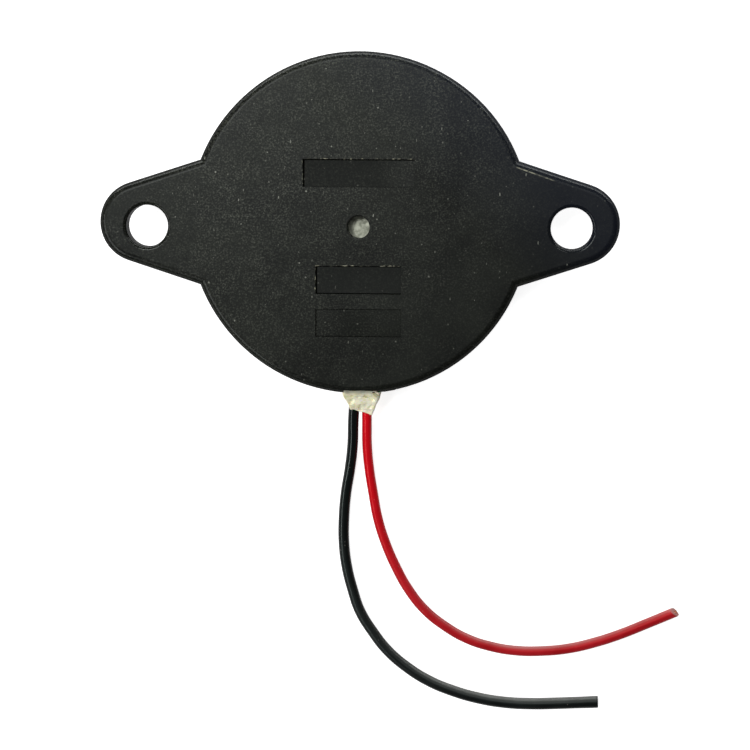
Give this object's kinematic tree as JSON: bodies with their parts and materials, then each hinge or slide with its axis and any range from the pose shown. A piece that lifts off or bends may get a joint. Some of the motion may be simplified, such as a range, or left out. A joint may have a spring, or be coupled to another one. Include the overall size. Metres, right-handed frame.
{
  "type": "flange-mount piezo buzzer",
  "caption": "Flat round piezo sounder in a moulded case with a central sound hole, a screw ear on each side and flying leads sealed into a slot in the rim.",
  "frame": {"origin": "centre of the round body's back, on the surface that the body lies on", "axes": "+Z out of the sounding face, +X and -X along the two mounting ears, -Y the side that the leads leave"},
  "size_m": [0.0588, 0.0672, 0.0065],
  "materials": {
    "case": "satin",
    "cover": "matte",
    "plate": "satin",
    "piezo_ceramic": "matte",
    "fired_silver": "satin",
    "silicone": "satin",
    "solder": "polished",
    "red_pvc": "satin",
    "black_pvc": "satin",
    "copper": "satin",
    "sealant": "matte"
  },
  "bodies": {
    "root": {"housing": "case", "back_cover": "cover", "metal_plate": "plate", "ceramic_disc": "piezo_ceramic", "silver_electrode": "fired_silver", "adhesive_ring": "silicone", "red_solder_joint": "solder", "black_solder_joint": "solder", "red_insulation": "red_pvc", "red_conductor": "copper", "black_insulation": "black_pvc", "black_conductor": "copper", "lead_sealant": "sealant"}
  },
  "joints": []
}
